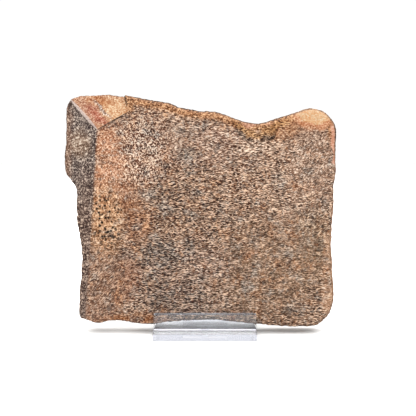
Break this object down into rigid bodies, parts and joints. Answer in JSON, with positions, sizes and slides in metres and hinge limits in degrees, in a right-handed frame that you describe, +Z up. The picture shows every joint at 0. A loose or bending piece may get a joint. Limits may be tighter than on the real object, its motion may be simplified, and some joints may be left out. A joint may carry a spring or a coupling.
{
  "type": "polished fossil dinosaur bone on stand",
  "caption": "Sawn and polished slab of agatised dinosaur bone with a weathered rim, leaning in a small clear acrylic stand with a front lip.",
  "frame": {"origin": "centre of the stand base's underside", "axes": "+Z up, +X to the right across the polished face, -Y the way the polished face looks"},
  "size_m": [0.1256, 0.0357, 0.1064],
  "materials": {
    "agatised_bone": "polished agatised bone, mottled tan and dark brown, with a duller weathered rim",
    "clear_acrylic": "clear cast acrylic with polished edges"
  },
  "bodies": {
    "root": {"fossil_slab": "agatised_bone", "stand_base": "clear_acrylic", "stand_lip": "clear_acrylic", "stand_back": "clear_acrylic", "stand_brace": "clear_acrylic"}
  },
  "joints": []
}
